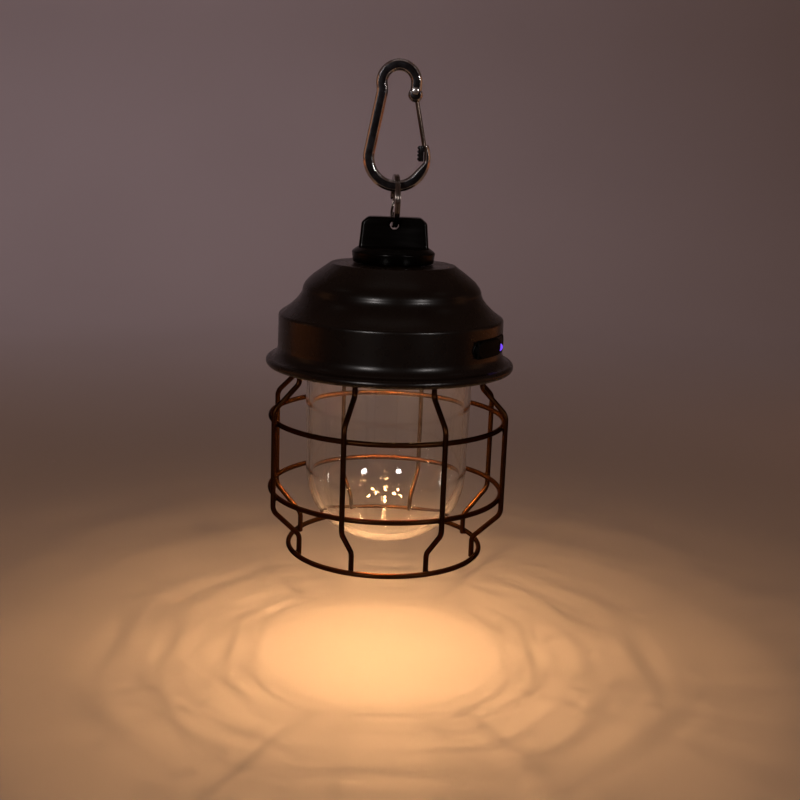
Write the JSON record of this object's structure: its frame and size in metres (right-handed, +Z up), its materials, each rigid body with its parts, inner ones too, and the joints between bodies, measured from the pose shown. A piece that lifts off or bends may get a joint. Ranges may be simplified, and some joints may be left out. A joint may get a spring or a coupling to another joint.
{
  "type": "camping lantern",
  "caption": "Rechargeable hanging camping lantern with a clear globe in a wire cage, a dimmer knob, a split ring and a small carabiner.",
  "frame": {"origin": "centre of the carabiner's upper bend, the point the lantern hangs from", "axes": "+Z up along the lamp's axis, +Y along the axis of the upper bend, through the carabiner's flat side and away from the viewer of its front, +X towards the carabiner's gate"},
  "size_m": [0.093, 0.093, 0.1826],
  "materials": {
    "cap_paint": "satin dark bronze paint",
    "cage_paint": "semi-gloss black paint over steel wire",
    "knob_black": "glossy black",
    "clear_glass": "clear",
    "body_gunmetal": "polished dark anodised",
    "gate_metal": "polished dark nickel",
    "ring_steel": "polished nickel plate",
    "rivet_steel": "bright",
    "screw_steel": "zinc plated",
    "screw_black": "black plated",
    "bushing_brass": "turned",
    "washer_plastic": "natural",
    "chassis_plastic": "moulded black",
    "trim_plastic": "black",
    "flap_rubber": "soft black silicone",
    "board_green": "solder mask",
    "board_white": "white solder mask on metal",
    "parts_black": "moulded",
    "socket_steel": "plated",
    "cell_sleeve": "blue shrink sleeve over a steel can, stored at a lithium cell's density",
    "tab_nickel": "nickel",
    "light_chip": "phosphor",
    "reflector_white": "white",
    "gasket_silicone": "translucent white",
    "lens_clear": "clear light pipe",
    "led_body": "clear moulded",
    "lead_red": "silicone insulation",
    "lead_black": "silicone insulation"
  },
  "bodies": {
    "carabiner": {"carabiner_frame": "body_gunmetal", "gate_rivet": "rivet_steel", "gate_spring": "screw_steel"},
    "gate": {"carabiner_gate": "gate_metal", "gate_catch": "body_gunmetal"},
    "ring": {"split_ring": "ring_steel"},
    "knob": {"knob": "knob_black", "knob_circlip": "screw_steel", "dimmer_shaft": "rivet_steel"},
    "flap": {"port_flap": "flap_rubber"},
    "lamp": {"cap_shell": "cap_paint", "top_bushing": "bushing_brass", "bushing_nut": "bushing_brass", "knob_washer": "washer_plastic", "chassis": "chassis_plastic", "control_board": "board_green", "board_parts": "parts_black", "board_screws": "screw_steel", "dimmer_body": "parts_black", "battery_tray": "chassis_plastic", "battery_cell_front": "cell_sleeve", "battery_cell_rear": "cell_sleeve", "battery_tabs": "tab_nickel", "usb_board": "board_green", "usb_socket_shell": "socket_steel", "usb_socket_tongue": "parts_black", "usb_screws": "screw_steel", "port_bezel": "trim_plastic", "flap_anchor": "flap_rubber", "indicator_lens": "lens_clear", "indicator_led": "led_body", "base_plate": "chassis_plastic", "chassis_screws": "screw_steel", "led_board": "board_white", "led_chips": "light_chip", "reflector_plate": "reflector_white", "led_screws": "screw_steel", "lead_positive": "lead_red", "lead_negative": "lead_black", "globe": "clear_glass", "globe_gasket": "gasket_silicone", "cage_ring": "cage_paint", "cage_screws": "screw_black", "cage_ribs": "cage_paint", "cage_hoop_upper": "cage_paint", "cage_hoop_lower": "cage_paint", "cage_hoop_foot": "cage_paint"}
  },
  "joints": [
    {"name": "ring_swing", "type": "hinge", "parent": "carabiner", "child": "ring", "pos_m": [0, 0, -0.0365], "axis": [1, 0, 0], "range_deg": [-60, 60]},
    {"name": "knob_tilt", "type": "hinge", "parent": "ring", "child": "knob", "pos_m": [0, 0, -0.0506], "axis": [0, 1, 0], "range_deg": [-35, 35]},
    {"name": "knob_turn", "type": "hinge", "parent": "knob", "child": "lamp", "pos_m": [0, 0, -0.0641], "axis": [0, 0, 1], "range_deg": [-210, 60]},
    {"name": "gate_swing", "type": "hinge", "parent": "carabiner", "child": "gate", "pos_m": [0.0059, 0, -0.00273], "axis": [0, 1, 0], "range_deg": [0, 28], "stiffness_Nm_per_rad": 0.02, "springref_deg": -11.46},
    {"name": "flap_hinge", "type": "hinge", "parent": "lamp", "child": "flap", "pos_m": [0.03089, -0.02991, -0.0914], "axis": [0, 0, -1], "range_deg": [0, 100]}
  ]
}
